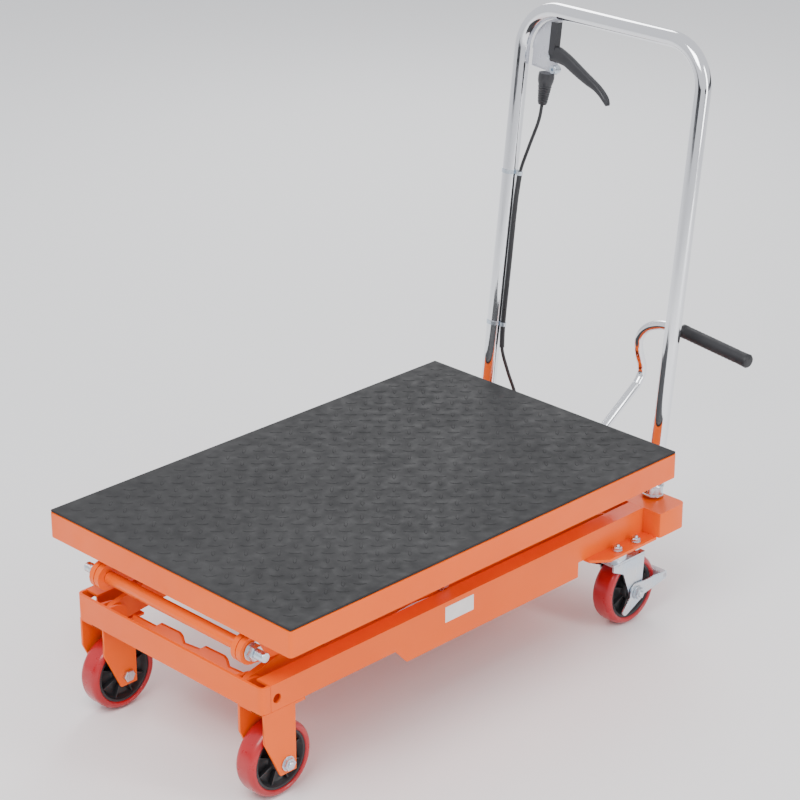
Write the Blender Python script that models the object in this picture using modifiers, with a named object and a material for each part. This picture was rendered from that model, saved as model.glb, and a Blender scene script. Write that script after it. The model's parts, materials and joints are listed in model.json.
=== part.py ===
"""Manual hydraulic scissor lift table with a double scissor, on two fixed and two swivel casters.

Units are metres. Z is up from the floor. The table is drawn around the centre of its deck, with
+X towards the push handle and +Y to the operator's right when facing -X; one root empty then moves
everything so that the origin is the bottom centre of the whole table's box. Shown fully lowered.
"""
import math

import bmesh
import bpy
from mathutils import Matrix, Vector

# ---- driving dimensions -------------------------------------------------------------------------
GAP = 0.0003                      # clearance left between touching neighbours

DECK_LENGTH = 0.700
DECK_WIDTH = 0.450
DECK_TOP = 0.265                  # lowered height of the load surface
MAT_THICKNESS = 0.003
PAN_SHEET = 0.002
SKIRT_BOTTOM = 0.227

FRAME_FRONT = -0.352              # outer face of the front plate
FRAME_HALF_WIDTH = 0.175          # outer face of the side channels
FRAME_BOTTOM = 0.130
FRAME_TOP = 0.166
CHANNEL_SHEET = 0.003
CHANNEL_FLANGE = 0.025
FRONT_PLATE_SHEET = 0.004
CROSS_FRONT = 0.346               # rear cross member, front and rear faces and half length
CROSS_REAR = 0.400
CROSS_HALF_LENGTH = 0.205
SKIRT_PLATE_X = (-0.131, 0.214)   # deeper stretch of the side channel, covering the pump
SKIRT_PLATE_BOTTOM = 0.108

ARM_HALF_WIDTH = 0.018
ARM_SHEET = 0.008
INNER_ARM_Y = 0.1245              # inner face of the inner arms
OUTER_ARM_Y = 0.1340              # inner face of the outer arms
FRONT_PIVOT_X = -0.328
ROLLER_X = 0.298
BASE_PIVOT_Z = 0.1464
DECK_PIVOT_Z = 0.2433
MID_HALF_SPAN = 0.3225
END_OFFSET = 0.006                # end pivots sit this far below the arm's centre line
PIN_RADIUS = 0.006
HOLE_RADIUS = 0.0063
ROLLER_RADIUS = 0.013
DECK_ROLLER_RADIUS = 0.012

LIFT_TUBE_ALONG = 0.173           # lift tube on the inner lower arm, from its front pivot
LIFT_TUBE_ABOVE = 0.010
LIFT_TUBE_RADIUS = 0.011
BARREL_PIVOT = (0.200, 0.132)
BARREL_RADIUS = 0.020

WHEEL_RADIUS = 0.050
WHEEL_WIDTH = 0.032
FRONT_AXLE_X = -0.313
FRONT_WHEEL_Y = 0.149
REAR_AXLE_X = 0.323
REAR_WHEEL_Y = 0.164
KINGPIN_X = 0.296

HANDLE_FOOT_X = 0.384
HANDLE_HALF_WIDTH = 0.1585
HANDLE_LEAN = math.atan(0.1223)
HANDLE_TOP_Z = 0.783
HANDLE_RADIUS = 0.011
HANDLE_BEND = 0.060

PEDAL_Y = -0.055
PEDAL_PIVOT = (0.330, 0.185)
PEDAL_ROD_RADIUS = 0.0065
PUMP_AXIS_Z = 0.153

ORIGIN_SHIFT = Vector((-0.0610, 0.0100, 0.0))

ORANGE = (1.0, 0.22, 0.03, 1.0)
RUBBER = (0.03, 0.03, 0.032, 1.0)
RED = (0.62, 0.02, 0.03, 1.0)
ZINC = (0.72, 0.74, 0.78, 1.0)
CHROME = (0.85, 0.86, 0.88, 1.0)
BLACK = (0.02, 0.02, 0.022, 1.0)
PALE_GREY = (0.66, 0.67, 0.72, 1.0)

SIDES = (("left", -1), ("right", 1))

# ---- scene set-up -------------------------------------------------------------------------------
for old in list(bpy.data.objects):
    bpy.data.objects.remove(old, do_unlink=True)

PARTS = bpy.data.collections.new("scissor_lift_table")
CUTTERS = bpy.data.collections.new("cutters")
bpy.context.scene.collection.children.link(PARTS)
bpy.context.scene.collection.children.link(CUTTERS)

ROOT = bpy.data.objects.new("table_origin", None)
ROOT.location = ORIGIN_SHIFT
PARTS.objects.link(ROOT)


def material(name, colour, roughness, metallic=0.0):
    made = bpy.data.materials.new(name)
    made.use_nodes = True
    shader = made.node_tree.nodes["Principled BSDF"]
    shader.inputs["Base Color"].default_value = colour
    shader.inputs["Roughness"].default_value = roughness
    shader.inputs["Metallic"].default_value = metallic
    return made


FINISH = {
    "orange_paint": (ORANGE, 0.4, 0.0), "deck_rubber": (RUBBER, 0.75, 0.0), "red_tyre": (RED, 0.35, 0.0),
    "zinc": (ZINC, 0.35, 1.0), "chrome": (CHROME, 0.08, 1.0), "black_plastic": (BLACK, 0.5, 0.0),
    "black_paint": (BLACK, 0.4, 0.0), "grey_bracket": (PALE_GREY, 0.3, 0.6), "steel": (ZINC, 0.3, 1.0),
}


def place(obj, finish, pivot=(0.0, 0.0, 0.0)):
    """Link a part, give it its own material and put its origin at pivot."""
    if obj.name not in PARTS.objects:
        PARTS.objects.link(obj)
    obj.data.materials.clear()
    obj.data.materials.append(material(obj.name + "_finish", *FINISH[finish]))
    pivot = Vector(pivot)
    if isinstance(obj.data, bpy.types.Mesh):
        obj.data.transform(Matrix.Translation(obj.location - pivot))
        obj.location = pivot
    obj.parent = ROOT
    return obj


def mesh_object(name, bm, collection=None):
    mesh = bpy.data.meshes.new(name)
    bmesh.ops.recalc_face_normals(bm, faces=bm.faces)
    bm.to_mesh(mesh)
    bm.free()
    obj = bpy.data.objects.new(name, mesh)
    (collection or PARTS).objects.link(obj)
    return obj


def cube_mesh(bm, low, high):
    size = [b - a for a, b in zip(low, high)]
    centre = [(a + b) / 2 for a, b in zip(low, high)]
    bmesh.ops.create_cube(bm, size=1.0, matrix=Matrix.Translation(centre) @ Matrix.Diagonal((*size, 1.0)))


def box(name, low, high, collection=None):
    bm = bmesh.new()
    cube_mesh(bm, low, high)
    return mesh_object(name, bm, collection)


def rod(name, radius, start, end, sides=16, collection=None):
    """A solid round bar between two points."""
    start, end = Vector(start), Vector(end)
    turn = (end - start).to_track_quat("Z", "Y").to_matrix().to_4x4()
    bm = bmesh.new()
    bmesh.ops.create_cone(bm, cap_ends=True, segments=sides, radius1=radius, radius2=radius,
                          depth=(end - start).length, matrix=Matrix.Translation((start + end) / 2) @ turn)
    return mesh_object(name, bm, collection)


def mesh_from(obj, name=None):
    """Replace a curve, or an object with modifiers, by its evaluated mesh with welded caps."""
    bpy.context.view_layer.update()
    evaluated = obj.evaluated_get(bpy.context.evaluated_depsgraph_get())
    mesh = bpy.data.meshes.new_from_object(evaluated)
    bm = bmesh.new()
    bm.from_mesh(mesh)
    bmesh.ops.remove_doubles(bm, verts=bm.verts, dist=0.000002)
    bmesh.ops.recalc_face_normals(bm, faces=bm.faces)
    if bm.calc_volume(signed=True) < 0:
        bmesh.ops.reverse_faces(bm, faces=bm.faces)
    bm.to_mesh(mesh)
    bm.free()
    mesh.transform(obj.matrix_world)
    collection = obj.users_collection[0]
    name = name or obj.name
    bpy.data.objects.remove(obj, do_unlink=True)
    made = bpy.data.objects.new(name, mesh)
    collection.objects.link(made)
    return made


def outline(name, loops, thickness, matrix, collection=None):
    """A flat plate: closed 2D outlines (the first is the rim, the others are holes), extruded."""
    curve = bpy.data.curves.new(name, "CURVE")
    curve.dimensions = "2D"
    curve.fill_mode = "BOTH"
    curve.extrude = thickness / 2
    for points in loops:
        spline = curve.splines.new("POLY")
        spline.points.add(len(points) - 1)
        for slot, (x, y) in zip(spline.points, points):
            slot.co = (x, y, 0.0, 1.0)
        spline.use_cyclic_u = True
    obj = bpy.data.objects.new(name, curve)
    (collection or PARTS).objects.link(obj)
    obj.matrix_world = matrix
    return mesh_from(obj)


def tube(name, points, radius, resolution=2, collection=None):
    curve = bpy.data.curves.new(name, "CURVE")
    curve.dimensions = "3D"
    curve.bevel_depth = radius
    curve.bevel_resolution = resolution
    curve.use_fill_caps = True
    spline = curve.splines.new("POLY")
    spline.points.add(len(points) - 1)
    for slot, point in zip(spline.points, points):
        slot.co = (*point, 1.0)
    obj = bpy.data.objects.new(name, curve)
    (collection or PARTS).objects.link(obj)
    made = mesh_from(obj)
    made.data.shade_smooth()
    made.data.set_sharp_from_angle(angle=math.radians(40))
    return made


def turned(name, profile, centre, steps=24):
    """Turn a closed (radius, height) profile about a line along Y through centre."""
    bm = bmesh.new()
    ring = [bm.verts.new((r, 0.0, h)) for r, h in profile]
    for a, b in zip(ring, ring[1:] + ring[:1]):
        bm.edges.new((a, b))
    obj = mesh_object(name, bm)
    screw = obj.modifiers.new("turn", "SCREW")
    screw.steps = steps
    screw.render_steps = steps
    screw.use_merge_vertices = True
    screw.merge_threshold = 0.00001
    obj.matrix_world = Matrix.Translation(centre) @ Matrix.Rotation(math.radians(-90), 4, "X")
    made = mesh_from(obj)
    made.data.shade_smooth()
    made.data.set_sharp_from_angle(angle=math.radians(35))
    return made


def boolean(obj, other, operation):
    """Union or difference with another object, which becomes a hidden cutter."""
    if other.name in PARTS.objects:
        PARTS.objects.unlink(other)
        CUTTERS.objects.link(other)
    other.hide_render = True
    other.display_type = "WIRE"
    step = obj.modifiers.new(operation.lower(), "BOOLEAN")
    step.operation = operation
    step.solver = "EXACT"
    step.object = other
    return obj


def joined(name, pieces, cuts=()):
    """One welded piece: the union of pieces, less the cuts, as a plain mesh."""
    first, *rest = pieces
    first.name = name
    for index, other in enumerate(rest):
        other.name = f"{name}_part_{index}"
        boolean(first, other, "UNION")
    for index, other in enumerate(cuts):
        other.name = f"{name}_cut_{index}"
        boolean(first, other, "DIFFERENCE")
    made = mesh_from(first, name)
    for other in [*rest, *cuts]:
        other.parent = None
    return made


def round_edges(obj, width, segments=2, angle=40):
    step = obj.modifiers.new("soft_edges", "BEVEL")
    step.width = width
    step.segments = segments
    step.limit_method = "ANGLE"
    step.angle_limit = math.radians(angle)
    return obj


# ---- geometry helpers ---------------------------------------------------------------------------
def arc(cx, cy, radius, start, end, steps):
    """Points along a circular arc, angles in degrees, both ends included."""
    turns = [math.radians(start + (end - start) * i / steps) for i in range(steps + 1)]
    return [(cx + radius * math.cos(t), cy + radius * math.sin(t)) for t in turns]


def circle(cx, cy, radius, steps=16):
    return arc(cx, cy, radius, 0, 360 - 360 / steps, steps - 1)


def upright(y, origin=(0.0, 0.0), angle=0.0):
    """Maps a drawing's x, y to world X, Z, in the plane at the given y."""
    return (Matrix.Translation((origin[0], y, origin[1])) @ Matrix.Rotation(angle, 4, "Y")
            @ Matrix.Rotation(math.radians(90), 4, "X"))


def mirrored(points):
    return [(-x, y) for x, y in points]


# ---- scissor geometry, worked out from the driving dimensions -----------------------------------
MID_HEIGHT = (DECK_PIVOT_Z - BASE_PIVOT_Z) / 2
END_HALF_SPAN = (ROLLER_X - FRONT_PIVOT_X) / 2
CENTRE_X = (ROLLER_X + FRONT_PIVOT_X) / 2
REST_ANGLE = 0.0
for _ in range(30):
    REST_ANGLE = math.atan2(MID_HEIGHT, END_HALF_SPAN + MID_HALF_SPAN + END_OFFSET * math.sin(REST_ANGLE))
END_HALF = (END_HALF_SPAN + END_OFFSET * math.sin(REST_ANGLE)) / math.cos(REST_ANGLE)
MID_HALF = MID_HALF_SPAN / math.cos(REST_ANGLE)
MID_PIVOT_Z = BASE_PIVOT_Z + (END_HALF + MID_HALF) * math.sin(REST_ANGLE) + END_OFFSET * math.cos(REST_ANGLE)
FRONT_MID_X = CENTRE_X - MID_HALF_SPAN
REAR_MID_X = CENTRE_X + MID_HALF_SPAN
UPPER_CENTRE_Z = MID_PIVOT_Z + MID_HALF * math.sin(REST_ANGLE)
DECK_PIVOT_X = FRONT_PIVOT_X - 2 * END_OFFSET * math.sin(REST_ANGLE)
DECK_ROLLER_X = ROLLER_X + 2 * END_OFFSET * math.sin(REST_ANGLE)


def lower_arm_outline():
    """Along x from the end pivot in the base to the mid pivot; the centre line is y = END_OFFSET."""
    end = END_HALF + MID_HALF
    top, bottom = END_OFFSET + ARM_HALF_WIDTH, END_OFFSET - ARM_HALF_WIDTH
    return (arc(0, 0, 0.015, 250, 110, 8) + [(0.060, top)]
            + arc(end, END_OFFSET, ARM_HALF_WIDTH, 90, -90, 10) + [(0.060, bottom)])


def upper_arm_outline():
    """Along x from the mid pivot to the end pivot under the deck, where the arm tapers to fit."""
    end = MID_HALF + END_HALF
    tip = 0.0125
    taper = 0.470
    return (arc(0, 0, ARM_HALF_WIDTH, 270, 90, 10) + [(taper, ARM_HALF_WIDTH)]
            + arc(end, -END_OFFSET, tip, 88, -88, 8) + [(0.590, -ARM_HALF_WIDTH)])


def make_arm(name, side, inner_face, loops, origin, rises_to_rear, pivot):
    y = side * (inner_face + ARM_SHEET / 2)
    if rises_to_rear:
        matrix = upright(y, origin, -REST_ANGLE)
    else:
        loops = [mirrored(points) for points in loops]
        matrix = upright(y, origin, REST_ANGLE)
    return outline(name, loops, ARM_SHEET, matrix)


# ---- base frame ---------------------------------------------------------------------------------
def side_channel(word, side):
    """C channel, open inwards, with the deeper pump cover and the caster mount welded below."""
    out = side * FRAME_HALF_WIDTH
    inn = side * (FRAME_HALF_WIDTH - CHANNEL_SHEET)
    lip = side * (FRAME_HALF_WIDTH - CHANNEL_FLANGE)
    x0, x1 = FRAME_FRONT + 0.0145, CROSS_FRONT - GAP
    profile = [(out, FRAME_BOTTOM), (out, FRAME_TOP), (lip, FRAME_TOP), (lip, FRAME_TOP - CHANNEL_SHEET),
               (inn, FRAME_TOP - CHANNEL_SHEET), (inn, FRAME_BOTTOM + CHANNEL_SHEET),
               (lip, FRAME_BOTTOM + CHANNEL_SHEET), (lip, FRAME_BOTTOM)]
    along_x = Matrix(((0, 0, 1, (x0 + x1) / 2), (1, 0, 0, 0), (0, 1, 0, 0), (0, 0, 0, 1)))
    channel = outline(f"side_channel_{word}", [profile], x1 - x0, along_x)
    front, rear = SKIRT_PLATE_X
    drop = FRAME_BOTTOM - SKIRT_PLATE_BOTTOM
    cover = outline("cover", [[(front, FRAME_BOTTOM + 0.002), (rear, FRAME_BOTTOM + 0.002),
                               (rear, SKIRT_PLATE_BOTTOM), (front + drop, SKIRT_PLATE_BOTTOM)]],
                    CHANNEL_SHEET - 0.0004, upright(side * (FRAME_HALF_WIDTH - CHANNEL_SHEET / 2)))
    mount_low, mount_high = FRAME_BOTTOM - 0.0035, FRAME_BOTTOM + 0.0005
    edge = side * 0.200
    mount = outline("mount", [[(0.228, side * 0.151), (CROSS_FRONT - GAP, side * 0.151),
                               (CROSS_FRONT - GAP, edge), (0.250, edge), (0.228, side * 0.182)]],
                    mount_high - mount_low, Matrix.Translation((0, 0, (mount_low + mount_high) / 2)))
    hole = rod("hole", 0.0063, (-0.3276, out * 1.1, 0.1455), (-0.3276, inn * 0.95, 0.1455), 16, CUTTERS)
    return place(joined(f"side_channel_{word}", [channel, cover, mount], [hole]), "orange_paint")


def front_plate():
    """Bent front plate with the lugs and pins that the inner lower arms turn on."""
    radius, leg = 0.008, 0.014
    back = FRAME_FRONT + FRONT_PLATE_SHEET
    y = FRAME_HALF_WIDTH

    def rim(face, half, bend):
        return arc(face + bend, -half + bend, bend, 270, 180, 4) + arc(face + bend, half - bend, bend, 180, 90, 4)

    outer = [(FRAME_FRONT + leg, -y)] + rim(FRAME_FRONT, y, radius) + [(FRAME_FRONT + leg, y)]
    inner = [(FRAME_FRONT + leg, y - FRONT_PLATE_SHEET)]
    inner += rim(back, y - FRONT_PLATE_SHEET, radius - FRONT_PLATE_SHEET)[::-1]
    inner += [(FRAME_FRONT + leg, -y + FRONT_PLATE_SHEET)]
    height = FRAME_TOP - FRAME_BOTTOM
    pieces = [outline("front_plate", [outer + inner], height, Matrix.Translation((0, 0, FRAME_BOTTOM + height / 2)))]
    for side in (-1, 1):
        for low, high in ((0.1190, 0.1230), (0.1340, 0.1380)):
            lug = [(back - 0.001, 0.1312), (FRONT_PIVOT_X + 0.004, 0.1312)]
            lug += arc(FRONT_PIVOT_X, BASE_PIVOT_Z, 0.0135, -60, 90, 6) + [(back - 0.001, 0.162)]
            pieces.append(outline("lug", [lug], high - low, upright(side * (low + high) / 2)))
        pieces.append(rod("pin", PIN_RADIUS, (FRONT_PIVOT_X, side * 0.1200, BASE_PIVOT_Z),
                          (FRONT_PIVOT_X, side * 0.1370, BASE_PIVOT_Z)))
    return place(joined("front_plate", pieces), "orange_paint")


def front_cross_plate():
    """Notched upright plate tying the front ends of the frame together, with two raised tabs."""
    half, low, shoulder, high, x = 0.1160, 0.1180, 0.1405, 0.1485, -0.308
    edge = [(-half, low), (half, low), (half, shoulder)]
    for middle in (0.042, -0.042):
        edge += [(middle + 0.0300, shoulder), (middle + 0.0200, high), (middle - 0.0160, high + 0.0010)]
        edge += [(middle - 0.0210, high - 0.0020), (middle - 0.0245, shoulder - 0.0030)]
    edge.append((-half, shoulder))
    across = Matrix(((0, 0, 1, x), (1, 0, 0, 0), (0, 1, 0, 0), (0, 0, 0, 1)))
    plate = outline("front_cross_plate", [edge], 0.004, across)
    feet = [box("foot", (x - 0.0030, side * 0.1200 - 0.0065, low), (x + 0.0030, side * 0.1200 + 0.0065, 0.1230))
            for side in (-1, 1)]
    return place(joined("front_cross_plate", [plate, *feet]), "orange_paint")


def rear_cross_member():
    """Box section, open below, with rounded ends and the two lugs of the pedal's pivot."""
    x0, x1, y, r = CROSS_FRONT, CROSS_REAR, CROSS_HALF_LENGTH, 0.009
    rim = (arc(x1 - r, y - r, r, 0, 90, 4) + arc(x0 + 0.003, y - 0.003, 0.003, 90, 180, 2)
           + arc(x0 + 0.003, -y + 0.003, 0.003, 180, 270, 2) + arc(x1 - r, -y + r, r, 270, 360, 4))
    height = FRAME_TOP - FRAME_BOTTOM
    shell = outline("rear_cross_member", [rim], height, Matrix.Translation((0, 0, FRAME_BOTTOM + height / 2)))
    hollow = box("hollow", (x0 + CHANNEL_SHEET, -y + 0.004, FRAME_BOTTOM - 0.01),
                 (x1 - 0.004, y - 0.004, FRAME_TOP - CHANNEL_SHEET), CUTTERS)
    lugs = []
    for y0 in (PEDAL_Y - 0.0145, PEDAL_Y + 0.0105):
        px, pz = PEDAL_PIVOT
        lug = [(x0 + 0.001, 0.140), (x0 + 0.001, FRAME_TOP - 0.001)]
        lug += arc(px, pz, 0.0095, 20, 200, 8) + [(px - 0.0090, 0.160)]
        lugs.append(outline("lug", [lug], 0.004, upright(y0 + 0.002)))
    pin = rod("pin", 0.005, (PEDAL_PIVOT[0], PEDAL_Y - 0.0135, PEDAL_PIVOT[1]),
              (PEDAL_PIVOT[0], PEDAL_Y + 0.0135, PEDAL_PIVOT[1]))
    return place(joined("rear_cross_member", [shell, *lugs, pin], [hollow]), "orange_paint")


def pump_mount_plate():
    """Floor plate of the pump, with the two ears that the lift cylinder's foot turns in."""
    px, pz = BARREL_PIVOT
    plate = box("pump_mount_plate", (0.176, -0.1495, 0.1265), (0.312, 0.1495, 0.1295))
    ears = []
    for side in (-1, 1):
        ear = arc(px, pz, 0.012, 0, 180, 8) + [(px - 0.014, 0.120), (px + 0.014, 0.120)]
        ears.append(outline("ear", [ear], 0.004, upright(side * 0.0188)))
    pin = rod("pin", PIN_RADIUS, (px, -0.0195, pz), (px, 0.0195, pz))
    slot = box("slot", (0.170, -0.0166, 0.110), (px + 0.018, 0.0166, 0.1310), CUTTERS)
    floor = joined("pump_floor", [plate], [slot])
    return place(joined("pump_mount_plate", [floor, *ears, pin]), "orange_paint")


# ---- casters ------------------------------------------------------------------------------------
def tyre(name, centre):
    r, w, t = WHEEL_RADIUS, WHEEL_WIDTH / 2, 0.0097
    profile = [(r, w - 0.007), (r - 0.0012, w - 0.0035), (r - 0.004, w), (r - t, w),
               (r - t, -w), (r - 0.004, -w), (r - 0.0012, -w + 0.0035), (r, -w + 0.007)]
    return place(turned(name, profile, centre, 32), "red_tyre", centre)


def hub(name, centre, bore=0.0055):
    w = WHEEL_WIDTH / 2 - 0.0005
    profile = [(0.0400, w), (0.0370, w), (0.0350, 0.006), (0.0155, 0.006), (0.0140, w + 0.0015), (bore, w + 0.0015)]
    profile += [(r, -h) for r, h in reversed(profile)]
    return place(turned(name, profile, centre, 24), "black_plastic", centre)


def axle(name, centre, half, side):
    """Axle bolt with a head inside and a nut outside, worked as one turned piece."""
    rod_r, head_r, thick = 0.0050, 0.0088, 0.0055
    profile = [(0.0, half + thick + 0.002), (0.0045, half + thick + 0.002), (0.0050, half + thick),
               (head_r, half + thick), (head_r, half), (rod_r, half), (rod_r, -half), (head_r, -half),
               (head_r, -half - 0.0045), (0.0, -half - 0.0045)]
    if side < 0:
        profile = [(r, -h) for r, h in reversed(profile)]
    return place(turned(name, profile, centre, 12), "zinc", centre)


def front_fork(word, side):
    """Pressed fork of a fixed caster: top plate and two tapered cheeks."""
    top = FRAME_BOTTOM - GAP
    outer, inner = FRAME_HALF_WIDTH, 0.127
    cheek = [(-0.3490, top), (-0.3490, 0.0900), (-0.3245, 0.0365), (-0.2985, 0.0365), (-0.2985, top)]
    hole = circle(FRONT_AXLE_X, WHEEL_RADIUS, 0.0054)
    cheeks = [outline("cheek", [cheek, hole], 0.004, upright(side * y)) for y in (outer - 0.002, inner + 0.002)]
    low_y, high_y = sorted((side * outer, side * inner))
    crown = box("crown", (-0.3490, low_y, top - 0.004), (-0.2820, high_y, top))
    return place(joined(f"front_fork_{word}", [crown, *cheeks]), "orange_paint")


def caster_top_plate(word, side):
    """Fixed plate of a swivel caster with its kingpin."""
    y = side * REAR_WHEEL_Y
    plate = box("plate", (0.2620, y - 0.0300, 0.1225), (0.3310, y + 0.0300, 0.1262))
    pin = rod("pin", 0.0060, (KINGPIN_X, y, 0.1000), (KINGPIN_X, y, 0.1235))
    head = rod("head", 0.0095, (KINGPIN_X, y, 0.0975), (KINGPIN_X, y, 0.1015))
    return place(joined(f"caster_top_plate_{word}", [plate, pin, head]), "zinc", (KINGPIN_X, y, 0.1225))


def caster_fork(word, side):
    """Swivelling fork: raceway disc, crown and two cheeks reaching back to the axle."""
    y = side * REAR_WHEEL_Y
    cheek = ([(0.2750, 0.1055), (0.2750, 0.0960), (0.2960, 0.0860)]
             + arc(REAR_AXLE_X, WHEEL_RADIUS, 0.0125, 205, 350, 8) + [(0.3390, 0.0960), (0.3390, 0.1055)])
    hole = circle(REAR_AXLE_X, WHEEL_RADIUS, 0.0054)
    cheeks = [outline("cheek", [cheek, hole], 0.003, upright(y + offset)) for offset in (-0.0205, 0.0205)]
    crown = box("crown", (0.2740, y - 0.0225, 0.1035), (0.3400, y + 0.0225, 0.1070))
    race = rod("race", 0.0215, (KINGPIN_X, y, 0.1060), (KINGPIN_X, y, 0.1220), 24)
    bore = rod("bore", 0.0064, (KINGPIN_X, y, 0.0950), (KINGPIN_X, y, 0.1300), 16, CUTTERS)
    return place(joined(f"caster_fork_{word}", [crown, race, *cheeks], [bore]), "zinc", (KINGPIN_X, y, 0.1225))


def brake_lever(word, side):
    """Foot brake outside the fork, turning on the axle, with a pad behind the wheel."""
    outer = side * (REAR_WHEEL_Y + 0.0240)
    x, z = REAR_AXLE_X, WHEEL_RADIUS
    blade = (arc(x, z, 0.0150, 100, 190, 5) + arc(x - 0.0230, z - 0.0210, 0.0060, 150, 290, 5)
             + arc(x, z, 0.0150, 285, 330, 3) + [(x + 0.0605, 0.0500), (x + 0.0605, 0.0600), (x + 0.0510, 0.0610)])
    plate = outline("blade", [blade, circle(x, z, 0.0056)], 0.0024, upright(outer))
    inner = side * (REAR_WHEEL_Y - 0.0020)
    low_y, high_y = sorted((outer + side * 0.0012, inner))
    pad = box("pad", (x + 0.0535, low_y, 0.0515), (x + 0.0625, high_y, 0.0605))
    return place(joined(f"brake_lever_{word}", [plate, pad]), "zinc", (x, side * REAR_WHEEL_Y, z))


# ---- scissor arms, shafts and rollers -----------------------------------------------------------
def scissor_arms(word, side):
    end_hole, centre_lower = circle(0, 0, HOLE_RADIUS), circle(END_HALF, END_OFFSET, HOLE_RADIUS)
    mid_lower = circle(END_HALF + MID_HALF, END_OFFSET, 0.0074)
    lower_inner = make_arm(f"lower_inner_arm_{word}", side, INNER_ARM_Y,
                           [lower_arm_outline(), end_hole, centre_lower, mid_lower],
                           (FRONT_PIVOT_X, BASE_PIVOT_Z), True, None)
    place(lower_inner, "orange_paint", (FRONT_PIVOT_X, side * INNER_ARM_Y, BASE_PIVOT_Z))

    bar = make_arm(f"lower_outer_arm_{word}", side, OUTER_ARM_Y, [lower_arm_outline(), mid_lower],
                   (ROLLER_X, BASE_PIVOT_Z), False, None)
    centre_z = BASE_PIVOT_Z + END_HALF * math.sin(REST_ANGLE) + END_OFFSET * math.cos(REST_ANGLE)
    stud = rod("stud", 0.0050, (ROLLER_X, side * 0.1380, BASE_PIVOT_Z), (ROLLER_X, side * 0.1712, BASE_PIVOT_Z))
    pin = rod("pin", PIN_RADIUS, (CENTRE_X, side * 0.1205, centre_z), (CENTRE_X, side * 0.1450, centre_z))
    lower_outer = joined(f"lower_outer_arm_{word}", [bar, stud, pin])
    place(lower_outer, "orange_paint", (CENTRE_X, side * OUTER_ARM_Y, centre_z))

    mid_hole, centre_upper = circle(0, 0, 0.0074), circle(MID_HALF, 0, HOLE_RADIUS)
    deck_hole = circle(MID_HALF + END_HALF, -END_OFFSET, HOLE_RADIUS)
    upper_outer = make_arm(f"upper_outer_arm_{word}", side, OUTER_ARM_Y,
                           [upper_arm_outline(), mid_hole, centre_upper, deck_hole],
                           (REAR_MID_X, MID_PIVOT_Z), False, None)
    place(upper_outer, "orange_paint", (REAR_MID_X, side * OUTER_ARM_Y, MID_PIVOT_Z))

    bar = make_arm(f"upper_inner_arm_{word}", side, INNER_ARM_Y, [upper_arm_outline(), mid_hole, centre_upper],
                   (FRONT_MID_X, MID_PIVOT_Z), True, None)
    stud = rod("stud", 0.0050, (DECK_ROLLER_X, side * 0.1285, DECK_PIVOT_Z),
               (DECK_ROLLER_X, side * 0.1075, DECK_PIVOT_Z))
    upper_inner = joined(f"upper_inner_arm_{word}", [bar, stud])
    place(upper_inner, "orange_paint", (CENTRE_X, side * INNER_ARM_Y, UPPER_CENTRE_Z))


def cross_shaft(name, x, z, thick, thin, reach, head, finish):
    """Shaft across the table: thick between the arms, thin through them, with a head at each end."""
    inside, outside = INNER_ARM_Y - 0.0008, OUTER_ARM_Y + ARM_SHEET + 0.0008
    half = [(thick, inside), (thin, inside), (thin, outside), (head, outside), (head, outside + 0.0070),
            (thin, outside + 0.0070), (thin, reach)]
    profile = [(0.0, reach)] + half[::-1] + [(r, -h) for r, h in half] + [(0.0, -reach)]
    return place(turned(name, profile, (x, 0.0, z), 16), finish, (x, 0.0, z))


def roller(name, y0, y1, x, z, radius):
    y_mid, half = (y0 + y1) / 2, abs(y1 - y0) / 2
    profile = [(radius, half - 0.001), (radius - 0.001, half), (0.0053, half), (0.0053, -half),
               (radius - 0.001, -half), (radius, -half + 0.001)]
    return place(turned(name, profile, (x, y_mid, z), 24), "steel", (x, y_mid, z))


def lift_tube():
    c, s = math.cos(REST_ANGLE), math.sin(REST_ANGLE)
    x = FRONT_PIVOT_X + LIFT_TUBE_ALONG * c - LIFT_TUBE_ABOVE * s
    z = BASE_PIVOT_Z + LIFT_TUBE_ALONG * s + LIFT_TUBE_ABOVE * c
    y = INNER_ARM_Y - GAP
    made = rod("lift_tube", LIFT_TUBE_RADIUS, (x, -y, z), (x, y, z), 20)
    place(made, "orange_paint", (x, 0.0, z))
    return x, z


# ---- deck ---------------------------------------------------------------------------------------
def deck():
    sheet_top = DECK_TOP - MAT_THICKNESS - GAP
    half_l, half_w = DECK_LENGTH / 2, DECK_WIDTH / 2
    bm = bmesh.new()
    cube_mesh(bm, (-half_l, -half_w, SKIRT_BOTTOM), (half_l, half_w, sheet_top))
    bottom = [face for face in bm.faces if face.normal.z < -0.5]
    bmesh.ops.delete(bm, geom=bottom, context="FACES_ONLY")
    upright_edges = [e for e in bm.edges if abs(e.verts[0].co.z - e.verts[1].co.z) > 0.01]
    bmesh.ops.bevel(bm, geom=upright_edges, offset=0.005, segments=3, affect="EDGES", profile=0.5)
    pan = mesh_object("deck_pan", bm)
    wall = pan.modifiers.new("sheet", "SOLIDIFY")
    wall.thickness = PAN_SHEET
    wall.offset = -1.0
    wall.use_even_offset = True
    place(mesh_from(pan), "orange_paint")
    inset = 0.0015
    mat = box("deck_mat", (-half_l + inset, -half_w + inset, DECK_TOP - MAT_THICKNESS),
              (half_l - inset, half_w - inset, DECK_TOP))
    place(mat, "deck_rubber")


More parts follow.
